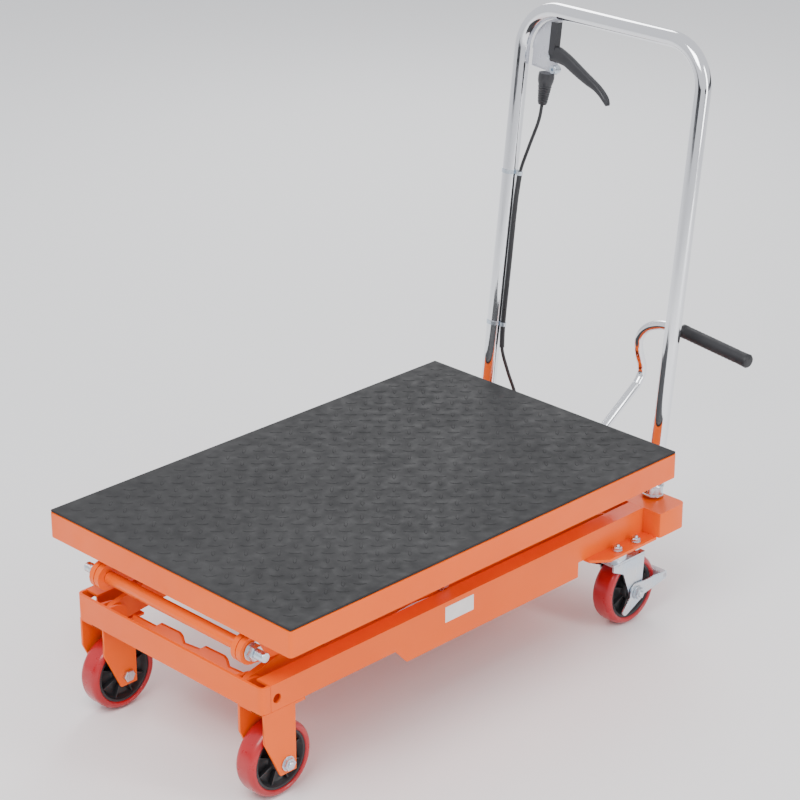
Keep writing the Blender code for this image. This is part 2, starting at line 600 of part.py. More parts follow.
def deck_rail(word, side):
    """Rail that the deck roller runs in, and the ears of the deck's front pivot, on one strip."""
    under = DECK_TOP - MAT_THICKNESS - PAN_SHEET - 2 * GAP
    strip_low = under - 0.003

    def slab(x0, x1, y0, y1, z0, z1):
        low_y, high_y = sorted((side * y0, side * y1))
        return box("slab", (x0, low_y, z0), (x1, high_y, z1))

    strip = slab(-0.345, 0.335, 0.1040, 0.1490, strip_low, under)
    flange_z = DECK_PIVOT_Z - DECK_ROLLER_RADIUS - 0.0012
    web = slab(0.060, 0.335, 0.1040, 0.1065, flange_z - 0.002, strip_low + 0.001)
    flange = slab(0.060, 0.335, 0.1040, 0.1225, flange_z - 0.002, flange_z)
    ears = []
    for low, high in ((0.1290, 0.1325), (0.1435, 0.1470)):
        ear = ([(-0.345, strip_low + 0.001), (-0.345, 0.2400)]
               + arc(DECK_PIVOT_X, DECK_PIVOT_Z, 0.0120, 225, 315, 6) + [(-0.308, 0.2440), (-0.308, strip_low + 0.001)])
        ears.append(outline("ear", [ear], high - low, upright(side * (low + high) / 2)))
    pin = rod("pin", PIN_RADIUS, (DECK_PIVOT_X, side * 0.1300, DECK_PIVOT_Z),
              (DECK_PIVOT_X, side * 0.1460, DECK_PIVOT_Z))
    return place(joined(f"deck_rail_{word}", [strip, web, flange, *ears, pin]), "orange_paint")


# ---- hydraulics ---------------------------------------------------------------------------------
def cylinder(tube_x, tube_z):
    """Barrel on its foot pin, and the rod whose open saddle carries the lift tube."""
    px, pz = BARREL_PIVOT
    length = math.hypot(px - tube_x, tube_z - pz)
    tilt = math.atan2(tube_z - pz, px - tube_x)
    frame = Matrix.Translation((px, 0.0, pz)) @ Matrix.Rotation(tilt, 4, "Y") @ Matrix.Rotation(math.pi, 4, "Z")

    def point(along, above=0.0, y=0.0):
        return frame @ Vector((along, y, above))

    r, bore = BARREL_RADIUS, 0.0100
    profile = [(bore, 0.2250), (0.0150, 0.2250), (0.0150, 0.2190), (r, 0.2190), (r, 0.0300), (0.0, 0.0300),
               (0.0, 0.0480), (bore, 0.0480)]
    body = turned("cylinder_barrel", profile, (0.0, 0.0, 0.0), 24)
    body.data.transform(frame @ Matrix.Rotation(math.radians(-90), 4, "Z"))
    eye = outline("eye", [arc(0.0, 0.0, 0.0140, 90, 270, 8) + [(0.0340, -0.0140), (0.0340, 0.0140)],
                          circle(0.0, 0.0, HOLE_RADIUS)], 0.0320, frame @ Matrix.Rotation(math.radians(90), 4, "X"))
    place(joined("cylinder_barrel", [body, eye]), "black_paint", (px, 0.0, pz))

    shaft = rod("shaft", 0.0092, point(0.110), point(length - 0.030), 16)
    reach = LIFT_TUBE_RADIUS + 0.0006
    saddle = [(-0.040, -0.020), (reach + 0.006, -0.020), (reach + 0.006, 0.016), (reach, 0.016), (reach, 0.0)]
    saddle += arc(0.0, 0.0, reach, 0, -90, 6) + [(-0.014, -reach)]
    saddle += arc(-0.014, 0.0, reach, -90, -180, 6)[1:] + [(-0.014 - reach, 0.016), (-0.040, 0.012)]
    head = outline("head", [saddle], 0.0200, frame @ Matrix.Translation((length, 0, 0)) @ Matrix.Rotation(math.radians(90), 4, "X"))
    place(joined("cylinder_rod", [shaft, head]), "steel", (px, 0.0, pz))


def pump():
    block = box("block", (0.2400, -0.0850, 0.1298), (0.3000, -0.0300, 0.1680))
    tank = rod("tank", 0.0185, (0.2640, -0.0320, 0.1485), (0.2640, 0.0850, 0.1485), 24)
    bore = rod("bore", 0.0064, (0.2480, PEDAL_Y, PUMP_AXIS_Z), (0.3100, PEDAL_Y, PUMP_AXIS_Z), 16, CUTTERS)
    place(joined("pump_body", [block, tank], [bore]), "black_paint")
    stem = rod("stem", PIN_RADIUS, (0.2620, PEDAL_Y, PUMP_AXIS_Z), (0.3230, PEDAL_Y, PUMP_AXIS_Z))
    cap = rod("cap", 0.0090, (0.3212, PEDAL_Y, PUMP_AXIS_Z), (0.3257, PEDAL_Y, PUMP_AXIS_Z))
    place(joined("pump_plunger", [stem, cap]), "steel", (0.3257, PEDAL_Y, PUMP_AXIS_Z))
    hub_x, hub_y = 0.2700, -0.0450
    arm = (arc(hub_x, hub_y, 0.0080, 200, 340, 8) + [(hub_x + 0.0045, hub_y + 0.0220)]
           + arc(hub_x, hub_y + 0.0260, 0.0055, 0, 180, 6) + [(hub_x - 0.0045, hub_y + 0.0220)])
    lever = outline("valve_lever", [arm], 0.0040, Matrix.Translation((0, 0, 0.1705)))
    place(lever, "zinc", (hub_x, hub_y, 0.1705))


def pedal():
    """Cranked pedal rod with its pivot boss and the cam that pushes the plunger."""
    px, pz = PEDAL_PIVOT
    y = PEDAL_Y
    run = [(px + 0.002, y, pz + 0.0028), (0.4600, y, 0.2702), (0.4700, y, 0.2778), (0.4762, y, 0.2858),
           (0.4785, y, 0.2950), (0.4772, y, 0.3045), (0.4722, y, 0.3180), (0.4692, y, 0.3320),
           (0.4685, y - 0.001, 0.3440), (0.4692, y - 0.006, 0.3558), (0.4706, y - 0.015, 0.3648),
           (0.4718, y - 0.028, 0.3712), (0.4725, y - 0.044, 0.3748)]
    grip_start, grip_end = (0.4725, -0.1275, 0.3757), (0.4725, -0.2440, 0.3630)
    run += [grip_start, (0.4725, -0.1520, 0.3730)]
    bar = tube("pedal_rod", run, PEDAL_ROD_RADIUS)
    boss = rod("boss", 0.0105, (px, y - 0.0098, pz), (px, y + 0.0098, pz), 20)
    cam = box("cam", (px - 0.0038, y - 0.0080, 0.1500), (px + 0.0038, y + 0.0080, pz - 0.004))
    bore = rod("bore", 0.0053, (px, y - 0.02, pz), (px, y + 0.02, pz), 16, CUTTERS)
    place(joined("pedal_lever", [bar, boss, cam], [bore]), "chrome", (px, y, pz))
    start, end = Vector(grip_start), Vector(grip_end)
    grip = rod("pedal_grip", 0.0095, start, end, 20)
    hollow = rod("hollow", 0.0069, start + (start - end) * 0.1, start + (end - start) * 0.26, 16, CUTTERS)
    place(joined("pedal_grip", [grip], [hollow]), "deck_rubber", (px, y, pz))


# ---- handle and release -------------------------------------------------------------------------
LEAN = (math.sin(HANDLE_LEAN), math.cos(HANDLE_LEAN))
POST_LENGTH = (HANDLE_TOP_Z - FRAME_TOP) / LEAN[1]


def handle_point(y, up, forward=0.0):
    """A point in the handle's own leaning plane: up along the posts, forward towards the deck."""
    return (HANDLE_FOOT_X + up * LEAN[0] - forward * LEAN[1], y, FRAME_TOP + up * LEAN[1] + forward * LEAN[0])


def handle_plane(forward=0.0):
    """Maps a drawing's x, y to the handle plane's Y and up directions."""
    ox, oy, oz = handle_point(0.0, 0.0, forward)
    return Matrix(((0, LEAN[0], LEAN[1], ox), (1, 0, 0, oy), (0, LEAN[1], -LEAN[0], oz), (0, 0, 0, 1)))


def handle():
    half, r = HANDLE_HALF_WIDTH, HANDLE_BEND
    start = 0.0018
    path = [(-half, start)] + arc(-half + r, POST_LENGTH - r, r, 180, 90, 8)
    path += arc(half - r, POST_LENGTH - r, r, 90, 0, 8) + [(half, start)]
    place(tube("handle_tube", [handle_point(y, up) for y, up in path], HANDLE_RADIUS, 4), "chrome")
    for word, side in SIDES:
        y = side * half
        low, high = Vector(handle_point(y, 0.0)), Vector(handle_point(y, 0.0190))
        low.z = FRAME_TOP + GAP
        high.z = FRAME_TOP + 0.0190
        shift = Vector((LEAN[0] * 0.0190 / LEAN[1], 0, 0))
        nut = rod("nut", 0.0152, low, low + Vector((0, 0, 0.0185)), 20)
        for vert in nut.data.vertices:
            if vert.co.z > FRAME_TOP + 0.01:
                vert.co += shift
        bore = rod("bore", HANDLE_RADIUS + 0.0004, Vector(handle_point(y, -0.05)), Vector(handle_point(y, 0.08)), 20, CUTTERS)
        place(joined(f"handle_collar_{word}", [nut], [bore]), "chrome")


def release_gear():
    """Bracket in the handle's right corner, squeeze lever, cable boot and cable."""
    half, r = HANDLE_HALF_WIDTH, HANDLE_BEND
    edge = half - HANDLE_RADIUS - GAP
    centre_up = POST_LENGTH - r
    inside = r - HANDLE_RADIUS - GAP
    shape = [(0.1530, 0.5375)] + arc(0.0985, 0.5610, 0.0545, 0, 90, 8) + [(0.0975, 0.6155), (0.0975, 0.5335)]
    plate = outline("bracket", [shape, circle(0.1260, 0.5670, 0.0025, 12)], 0.0020, handle_plane(0.0128))
    shape_back = [(edge, 0.5375)] + arc(half - r, centre_up, inside, 0, 90, 8)
    shape_back += [(0.1000, centre_up + inside), (0.1000, 0.5335)]
    back = outline("back", [shape_back], 0.0030, handle_plane(-0.0085))
    rim = outline("rim", [[(0.1200, 0.5350), (edge, 0.5375), (edge, 0.5620), (0.1440, 0.5620),
                           (0.1440, 0.5405), (0.1200, 0.5380)]], 0.0230, handle_plane(0.0020))
    place(joined("lever_bracket", [plate, back, rim]), "grey_bracket")

    pivot = (0.0985, 0.5600)
    top = [(0.1020, 0.6075), (0.0920, 0.6075), (0.0920, 0.5775), (0.0565, 0.5595), (0.0300, 0.5465)]
    top += [(0.0150, 0.5380), (0.0045, 0.5295), (-0.0025, 0.5205)]
    tip = arc(-0.0050, 0.5160, 0.0034, 60, 290, 6)
    under = [(0.0010, 0.5195), (0.0080, 0.5255), (0.0170, 0.5300), (0.0260, 0.5310), (0.0360, 0.5352),
             (0.0480, 0.5370), (0.0600, 0.5430), (0.0830, 0.5500), (0.0985, 0.5500)]
    root = arc(pivot[0], pivot[1], 0.0085, -70, 60, 5)
    lever = outline("release_lever", [top + tip + under + root + [(0.1020, 0.5720)],
                                      circle(*pivot, 0.0022, 10)], 0.0120, handle_plane(0.0052))
    round_edges(lever, 0.0015, 2)
    place(mesh_from(lever), "black_plastic", handle_point(*pivot))

    boot_top, boot_low = Vector(handle_point(0.1100, 0.5325)), Vector(handle_point(0.1125, 0.4900))
    turn = (boot_top - boot_low).to_track_quat("Z", "Y").to_matrix().to_4x4()
    bm = bmesh.new()
    bmesh.ops.create_cone(bm, cap_ends=True, segments=16, radius1=0.0060, radius2=0.0105,
                          depth=(boot_top - boot_low).length, matrix=Matrix.Translation((boot_top + boot_low) / 2) @ turn)
    place(mesh_object("cable_boot", bm), "black_plastic")

    route = [handle_point(0.1127, 0.4895), handle_point(0.1160, 0.4650), handle_point(0.1290, 0.4250),
             handle_point(0.1400, 0.3860), handle_point(0.1425, 0.3400), handle_point(0.1425, 0.2500),
             handle_point(0.1425, 0.1700), handle_point(0.1400, 0.1300), (0.4020, 0.1300, 0.2600),
             (0.4060, 0.1180, 0.2250), (0.3960, 0.1020, 0.1900), (0.3700, 0.0860, 0.1765),
             (0.3400, 0.0650, 0.1740), (0.3150, 0.0350, 0.1740), (0.3020, 0.0110, 0.1735), (0.2960, -0.0040, 0.1725)]
    place(tube("release_cable", smooth_route(route, 4), 0.0026), "black_plastic")


def smooth_route(points, steps):
    """Catmull-Rom curve through the route's points."""
    points = [Vector(p) for p in points]
    padded = [2 * points[0] - points[1], *points, 2 * points[-1] - points[-2]]
    smooth = []
    for a, b, c, d in zip(padded, padded[1:], padded[2:], padded[3:]):
        for i in range(steps):
            t = i / steps
            smooth.append(0.5 * (2 * b + (c - a) * t + (2 * a - 5 * b + 4 * c - d) * t ** 2
                                 + (3 * b - a - 3 * c + d) * t ** 3))
    return smooth + [points[-1]]


# ---- assembly -----------------------------------------------------------------------------------
front_plate()
front_cross_plate()
rear_cross_member()
pump_mount_plate()
for word, side in SIDES:
    side_channel(word, side)
    front_centre = (FRONT_AXLE_X, side * FRONT_WHEEL_Y, WHEEL_RADIUS)
    rear_centre = (REAR_AXLE_X, side * REAR_WHEEL_Y, WHEEL_RADIUS)
    front_fork(word, side)
    tyre(f"front_tyre_{word}", front_centre)
    hub(f"front_hub_{word}", front_centre)
    axle(f"front_axle_{word}", (FRONT_AXLE_X, side * 0.151, WHEEL_RADIUS), 0.0243, side)
    caster_top_plate(word, side)
    caster_fork(word, side)
    tyre(f"rear_tyre_{word}", rear_centre)
    hub(f"rear_hub_{word}", rear_centre)
    axle(f"rear_axle_{word}", (REAR_AXLE_X, side * (REAR_WHEEL_Y + 0.0015), WHEEL_RADIUS), 0.0240, side)
    brake_lever(word, side)
    scissor_arms(word, side)
    roller(f"base_roller_{word}", side * 0.1520, side * 0.1700, ROLLER_X, BASE_PIVOT_Z, ROLLER_RADIUS)
    roller(f"deck_roller_{word}", side * 0.1085, side * 0.1225, DECK_ROLLER_X, DECK_PIVOT_Z, DECK_ROLLER_RADIUS)
    deck_rail(word, side)
cross_shaft("front_mid_shaft", FRONT_MID_X, MID_PIVOT_Z, 0.0085, 0.0070, 0.1690, 0.0110, "zinc")
cross_shaft("rear_mid_shaft", REAR_MID_X, MID_PIVOT_Z, 0.0085, 0.0070, 0.1690, 0.0110, "zinc")
cross_shaft("upper_centre_shaft", CENTRE_X, UPPER_CENTRE_Z, 0.0080, 0.0060, 0.1500, 0.0100, "zinc")
cylinder(*lift_tube())
deck()
pump()
pedal()
handle()
release_gear()
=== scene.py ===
"""Looks of the mobile scissor lift table: finishes for every part, and the finer pieces on them."""

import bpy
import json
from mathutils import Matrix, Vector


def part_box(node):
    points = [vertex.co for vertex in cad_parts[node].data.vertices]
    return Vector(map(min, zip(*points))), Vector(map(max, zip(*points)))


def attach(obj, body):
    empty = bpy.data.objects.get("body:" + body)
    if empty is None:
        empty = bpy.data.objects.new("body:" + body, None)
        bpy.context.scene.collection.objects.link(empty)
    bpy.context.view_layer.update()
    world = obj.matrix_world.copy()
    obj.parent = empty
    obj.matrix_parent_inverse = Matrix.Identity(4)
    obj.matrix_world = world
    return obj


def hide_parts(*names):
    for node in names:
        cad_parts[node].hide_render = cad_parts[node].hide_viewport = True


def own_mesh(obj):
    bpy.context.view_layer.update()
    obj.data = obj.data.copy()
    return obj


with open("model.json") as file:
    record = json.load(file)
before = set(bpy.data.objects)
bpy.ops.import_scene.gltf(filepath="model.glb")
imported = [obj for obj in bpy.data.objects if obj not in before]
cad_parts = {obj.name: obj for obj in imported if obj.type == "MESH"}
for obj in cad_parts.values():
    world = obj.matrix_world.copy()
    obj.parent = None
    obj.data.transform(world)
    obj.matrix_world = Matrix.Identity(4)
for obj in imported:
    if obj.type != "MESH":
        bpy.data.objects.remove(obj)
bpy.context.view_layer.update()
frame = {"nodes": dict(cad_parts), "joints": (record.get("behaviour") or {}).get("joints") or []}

import json
import math

import bmesh
import bpy
from mathutils import Matrix, Vector

NODES = frame["nodes"]
JOINTS = {joint["name"]: joint for joint in frame["joints"]}
SIDES = (("left", -1), ("right", 1))


# ---- places taken from the frame ----------------------------------------------------------------
def corners(node):
    low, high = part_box(node)
    return Vector(low), Vector(high)


def middle(node):
    low, high = corners(node)
    return (low + high) / 2


def joint_at(name):
    return Vector(JOINTS[name]["pos_m"])


DECK_LOW, DECK_HIGH = corners("deck_mat")
DECK_CENTRE = Vector(((DECK_LOW.x + DECK_HIGH.x) / 2, (DECK_LOW.y + DECK_HIGH.y) / 2, DECK_HIGH.z))
CENTRE_Y = DECK_CENTRE.y

TUBE_RADIUS = 0.011
TUBE_BEND = 0.060
TUBE_LOW, TUBE_HIGH = corners("handle_tube")
FRAME_TOP = corners("side_channel_left")[1].z
COLLAR_RADIUS = 0.0152
FOOT_X = corners("handle_collar_left")[0].x + COLLAR_RADIUS
HANDLE_HALF = (TUBE_HIGH.y - TUBE_LOW.y) / 2 - TUBE_RADIUS
HANDLE_LEAN = math.atan2(TUBE_HIGH.x - TUBE_RADIUS - FOOT_X, TUBE_HIGH.z - TUBE_RADIUS - FRAME_TOP)
UP = Vector((math.sin(HANDLE_LEAN), 0.0, math.cos(HANDLE_LEAN)))
FORWARD = Vector((-math.cos(HANDLE_LEAN), 0.0, math.sin(HANDLE_LEAN)))
POST_LENGTH = (TUBE_HIGH.z - TUBE_RADIUS - FRAME_TOP) / math.cos(HANDLE_LEAN)


def handle_point(across, up, forward=0.0):
    """A point in the handle's own leaning plane, from the middle of its foot."""
    return Vector((FOOT_X, CENTRE_Y + across, FRAME_TOP)) + up * UP + forward * FORWARD


# ---- materials ----------------------------------------------------------------------------------
def finish(name, colour, roughness, metallic=0.0, coat=0.0, specular=0.5):
    made = bpy.data.materials.new(name)
    made.use_nodes = True
    shader = made.node_tree.nodes["Principled BSDF"]
    shader.inputs["Base Color"].default_value = (*colour, 1.0)
    shader.inputs["Roughness"].default_value = roughness
    shader.inputs["Metallic"].default_value = metallic
    shader.inputs["Specular IOR Level"].default_value = specular
    shader.inputs["Coat Weight"].default_value = coat
    shader.inputs["Coat Roughness"].default_value = 0.12
    return made


def noise(made, scale, detail=3.0, stretch=(1.0, 1.0, 1.0)):
    nodes, links = made.node_tree.nodes, made.node_tree.links
    coordinates = nodes.new("ShaderNodeTexCoord")
    mapping = nodes.new("ShaderNodeMapping")
    mapping.inputs["Scale"].default_value = stretch
    texture = nodes.new("ShaderNodeTexNoise")
    texture.inputs["Scale"].default_value = scale
    texture.inputs["Detail"].default_value = detail
    links.new(coordinates.outputs["Object"], mapping.inputs["Vector"])
    links.new(mapping.outputs["Vector"], texture.inputs["Vector"])
    return texture.outputs["Fac"]


def ramp(made, source, stops):
    """Colour ramp: stops are (position, colour)."""
    node = made.node_tree.nodes.new("ShaderNodeValToRGB")
    elements = node.color_ramp.elements
    while len(elements) < len(stops):
        elements.new(0.5)
    for element, (position, colour) in zip(elements, stops):
        element.position = position
        element.color = (*colour, 1.0)
    made.node_tree.links.new(source, node.inputs["Fac"])
    return node.outputs["Color"]


def levels(made, source, low, high, start=0.3, end=0.7):
    node = made.node_tree.nodes.new("ShaderNodeMapRange")
    node.inputs["From Min"].default_value = start
    node.inputs["From Max"].default_value = end
    node.inputs["To Min"].default_value = low
    node.inputs["To Max"].default_value = high
    made.node_tree.links.new(source, node.inputs["Value"])
    return node.outputs["Result"]


def colour_from(made, output):
    made.node_tree.links.new(output, made.node_tree.nodes["Principled BSDF"].inputs["Base Color"])


def roughness_from(made, output):
    made.node_tree.links.new(output, made.node_tree.nodes["Principled BSDF"].inputs["Roughness"])


def bump_from(made, *layers):
    """Layers are (height output, strength, distance in metres), finest last."""
    normal = None
    for height, strength, distance in layers:
        node = made.node_tree.nodes.new("ShaderNodeBump")
        node.inputs["Strength"].default_value = strength
        node.inputs["Distance"].default_value = distance
        made.node_tree.links.new(height, node.inputs["Height"])
        if normal:
            made.node_tree.links.new(normal, node.inputs["Normal"])
        normal = node.outputs["Normal"]
    made.node_tree.links.new(normal, made.node_tree.nodes["Principled BSDF"].inputs["Normal"])


def orange_paint():
    """Powder coat: slight orange peel, faint cloudiness and a few rubbed specks."""
    made = finish("orange_powder_coat", (1.0, 0.13, 0.0), 0.38, coat=0.05, specular=0.3)
    cloud = noise(made, 5.0, 4.0)
    colour_from(made, ramp(made, cloud, [(0.30, (0.90, 0.112, 0.0)), (0.70, (0.98, 0.135, 0.0))]))
    roughness_from(made, levels(made, noise(made, 38.0, 5.0), 0.28, 0.44))
    bump_from(made, (noise(made, 60.0, 2.0), 0.05, 0.0006), (noise(made, 900.0, 2.0), 0.10, 0.0001))
    return made


def mat_rubber():
    """Deck mat: charcoal rubber with a fine grain and dusty high spots."""
    made = finish("deck_mat_rubber", (0.026, 0.026, 0.027), 0.72, specular=0.25)
    patches = noise(made, 9.0, 5.0)
    colour_from(made, ramp(made, patches, [(0.3, (0.021, 0.021, 0.022)), (0.7, (0.032, 0.032, 0.033))]))
    roughness_from(made, levels(made, noise(made, 60.0, 4.0), 0.58, 0.78))
    bump_from(made, (noise(made, 1300.0, 3.0), 0.35, 0.00015))
    return made


def red_urethane():
    """Tyre: translucent-looking red polyurethane, with a little floor dust rubbed in."""
    made = finish("red_urethane", (0.42, 0.006, 0.012), 0.32, coat=0.25)
    patches = noise(made, 22.0, 6.0)
    colour_from(made, ramp(made, patches, [(0.25, (0.35, 0.005, 0.010)), (0.75, (0.48, 0.008, 0.015))]))
    roughness_from(made, levels(made, noise(made, 70.0, 5.0), 0.24, 0.42))
    bump_from(made, (noise(made, 500.0, 3.0), 0.12, 0.0002))
    return made


def moulded_black(name, colour=(0.014, 0.014, 0.016), roughness=0.42, grain=1100.0):
    made = finish(name, colour, roughness)
    lighter = tuple(1.5 * value for value in colour)
    colour_from(made, ramp(made, noise(made, 30.0, 4.0), [(0.3, colour), (0.8, lighter)]))
    roughness_from(made, levels(made, noise(made, 90.0, 4.0), roughness - 0.08, roughness + 0.10))
    bump_from(made, (noise(made, grain, 2.0), 0.18, 0.00015))
    return made


def zinc_plate(name="bright_zinc", colour=(0.66, 0.71, 0.76), roughness=0.27):
    """Zinc plate: cool grey with faint passivation tints and fine brushing."""
    made = finish(name, colour, roughness, metallic=1.0)
    warm = (colour[0] * 1.08, colour[1] * 1.02, colour[2] * 0.96)
    cool = (colour[0] * 0.88, colour[1] * 0.95, colour[2] * 1.02)
    colour_from(made, ramp(made, noise(made, 45.0, 4.0), [(0.3, cool), (0.7, warm)]))
    brushing = noise(made, 300.0, 4.0, (1.0, 1.0, 0.08))
    roughness_from(made, levels(made, brushing, roughness - 0.08, roughness + 0.14))
    bump_from(made, (noise(made, 900.0, 2.0, (1.0, 1.0, 0.06)), 0.06, 0.0001))
    return made


def chrome_plate():
    made = finish("polished_chrome", (0.86, 0.87, 0.90), 0.07, metallic=1.0)
    roughness_from(made, levels(made, noise(made, 25.0, 6.0), 0.045, 0.12))
    bump_from(made, (noise(made, 120.0, 2.0), 0.012, 0.0002))
    return made


def bracket_paint():
    made = finish("pale_bracket_enamel", (0.60, 0.61, 0.67), 0.30, metallic=0.35, coat=0.3)
    patches = noise(made, 20.0, 4.0)
    colour_from(made, ramp(made, patches, [(0.3, (0.55, 0.56, 0.62)), (0.7, (0.64, 0.65, 0.70))]))
    roughness_from(made, levels(made, noise(made, 80.0, 4.0), 0.24, 0.38))
    bump_from(made, (noise(made, 700.0, 2.0), 0.06, 0.0001))
    return made


def label_film():
    made = finish("blank_label_film", (0.86, 0.85, 0.82), 0.38)
    patches = noise(made, 60.0, 3.0)
    colour_from(made, ramp(made, patches, [(0.3, (0.80, 0.79, 0.76)), (0.7, (0.90, 0.89, 0.87))]))
    bump_from(made, (noise(made, 400.0, 2.0), 0.05, 0.0001))
    return made


ORANGE = orange_paint()
MAT = mat_rubber()
RED = red_urethane()
HUB = moulded_black("black_nylon")
PLASTIC = moulded_black("black_lever_plastic", (0.022, 0.022, 0.025), 0.36, 1400.0)
GRIP = moulded_black("black_grip_rubber", (0.012, 0.012, 0.014), 0.52, 700.0)
SHEATH = moulded_black("black_cable_sheath", (0.016, 0.016, 0.018), 0.34, 1800.0)
BLACK = moulded_black("black_enamel", (0.014, 0.014, 0.015), 0.28, 500.0)
ZINC = zinc_plate()
STEEL = zinc_plate("ground_steel", (0.50, 0.51, 0.53), 0.30)
CHROME = chrome_plate()
BRACKET = bracket_paint()
PAD_GREY = moulded_black("grey_brake_pad", (0.42, 0.42, 0.46), 0.50, 900.0)
LABEL = label_film()


# ---- mesh helpers -------------------------------------------------------------------------------
def piece(name, bm, material, body, smooth=40):
    mesh = bpy.data.meshes.new(name)
    bmesh.ops.remove_doubles(bm, verts=bm.verts, dist=0.000002)
    bmesh.ops.recalc_face_normals(bm, faces=bm.faces)
    bm.to_mesh(mesh)
    bm.free()
    mesh.shade_smooth()
    mesh.set_sharp_from_angle(angle=math.radians(smooth))
    obj = bpy.data.objects.new(name, mesh)
    bpy.context.scene.collection.objects.link(obj)
    mesh.materials.append(material)
    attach(obj, body)
    return obj


def axis_frame(centre, direction):
    """Local z along direction, origin at centre."""
    turn = Vector(direction).to_track_quat("Z", "Y").to_matrix().to_4x4()
    return Matrix.Translation(centre) @ turn


def add_lathe(bm, profile, centre, direction, steps=48):
    """Turn an open (radius, height) profile; radius 0 ends close to a point."""
    matrix = axis_frame(centre, direction)
    rings = []
    for radius, height in profile:
        if radius < 1e-7:
            rings.append([bm.verts.new(matrix @ Vector((0, 0, height)))])
            continue
        turns = [2 * math.pi * i / steps for i in range(steps)]
        rings.append([bm.verts.new(matrix @ Vector((radius * math.cos(t), radius * math.sin(t), height)))
                      for t in turns])
    for low, high in zip(rings, rings[1:]):
        for i in range(steps):
            j = (i + 1) % steps
            corner = [low[i % len(low)], low[j % len(low)], high[j % len(high)], high[i % len(high)]]
            unique = list(dict.fromkeys(corner))
            if len(unique) > 2:
                bm.faces.new(unique)
    return rings


def add_ring(bm, profile, centre, direction, steps=48):
    """Turn a closed (radius, height) profile that doesn't touch the axis."""
    add_lathe(bm, [*profile, profile[0]], centre, direction, steps)


def add_sweep(bm, points, radius, sides=20):
    """A round bar along points."""
    points = [Vector(p) for p in points]
    tangents = [(b - a).normalized() for a, b in zip(points, points[1:])]
    tangents = [tangents[0], *[(a + b).normalized() for a, b in zip(tangents, tangents[1:])], tangents[-1]]
    side = tangents[0].orthogonal().normalized()
    rings = []
    for point, tangent in zip(points, tangents):
        side = (side - tangent * side.dot(tangent)).normalized()
        other = tangent.cross(side)
        turns = [2 * math.pi * i / sides for i in range(sides)]
        rings.append([bm.verts.new(point + radius * (math.cos(t) * side + math.sin(t) * other))
                      for t in turns])
    for low, high in zip(rings, rings[1:]):
        for i in range(sides):
            bm.faces.new((low[i], low[(i + 1) % sides], high[(i + 1) % sides], high[i]))
    bm.faces.new(rings[0])
    bm.faces.new(rings[-1])


def add_prism(bm, rings, matrix):
    """Stack of closed outlines [(points, height)], capped at both ends."""
    made = [[bm.verts.new(matrix @ Vector((x, y, height))) for x, y in points] for points, height in rings]
    for low, high in zip(made, made[1:]):
        count = len(low)
        for i in range(count):
            bm.faces.new((low[i], low[(i + 1) % count], high[(i + 1) % count], high[i]))
    bm.faces.new(made[0])
    bm.faces.new(made[-1])


def hexagon(across_flats):
    radius = across_flats / math.sqrt(3)
    return [(radius * math.cos(math.pi * i / 3), radius * math.sin(math.pi * i / 3)) for i in range(6)]


def scaled(points, factor):
    return [(x * factor, y * factor) for x, y in points]


def add_nut(bm, centre, direction, across, height):
    """Hexagon with chamfered corners on its outer end."""
    outline = hexagon(across)
    add_prism(bm, [(outline, 0.0), (outline, height * 0.80), (scaled(outline, 0.88), height)],
              axis_frame(centre, direction))


def add_washer(bm, centre, direction, outer, inner, height=0.0015):
    rim = 0.0003
    profile = [(inner, 0.0), (outer - rim, 0.0), (outer, rim), (outer, height - rim), (outer - rim, height),
               (inner, height)]
    add_ring(bm, profile, centre, direction, 32)


def add_thread(bm, centre, direction, radius, length, pitch=0.0010):
    """Bolt end with turned grooves for its thread and a domed tip."""
    profile = [(0.0, 0.0), (radius, 0.0)]
    turns = int(length / pitch)
    for i in range(turns):
        profile += [(radius, (i + 0.25) * pitch), (radius - pitch * 0.45, (i + 0.75) * pitch)]
    profile += [(radius - 0.0006, length), (radius * 0.6, length + 0.0006), (0.0, length + 0.0008)]
    add_lathe(bm, profile, centre, direction, 24)


def add_bolt_end(bm, centre, direction, radius, across, nut, tip):
    """Washer, nut and thread standing out from a face."""
    direction = Vector(direction).normalized()
    centre = Vector(centre)
    add_washer(bm, centre, direction, across * 0.66, radius * 1.02)
    add_nut(bm, centre + direction * 0.0015, direction, across, nut)
    add_thread(bm, centre + direction * (0.0015 + nut * 0.9), direction, radius, tip)


def smooth_route(points, steps=6):
    """Catmull-Rom curve through the points."""
    points = [Vector(p) for p in points]
    padded = [2 * points[0] - points[1], *points, 2 * points[-1] - points[-2]]
    smooth = []
    for a, b, c, d in zip(padded, padded[1:], padded[2:], padded[3:]):
        for i in range(steps):
            t = i / steps
            smooth.append(0.5 * (2 * b + (c - a) * t + (2 * a - 5 * b + 4 * c - d) * t ** 2
                                 + (3 * b - a - 3 * c + d) * t ** 3))
    return smooth + [points[-1]]


def dress(node, material, bevel=0.0006, segments=2, angle=35):
    """Finish for a CAD node: its material, softened edges and smooth round faces."""
    obj = NODES[node]
    obj.data.materials.clear()
    obj.data.materials.append(material)
    if "custom_normal" in obj.data.attributes:
        obj.data.attributes.remove(obj.data.attributes["custom_normal"])
    obj.data.shade_smooth()
    weld = obj.modifiers.new("weld", "WELD")
    weld.merge_threshold = 0.000005
    soft = obj.modifiers.new("soft_edges", "BEVEL")
    soft.width = bevel
    soft.segments = segments
    soft.limit_method = "ANGLE"
    soft.angle_limit = math.radians(angle)
    soft.harden_normals = True
    soft.use_clamp_overlap = True
    return obj


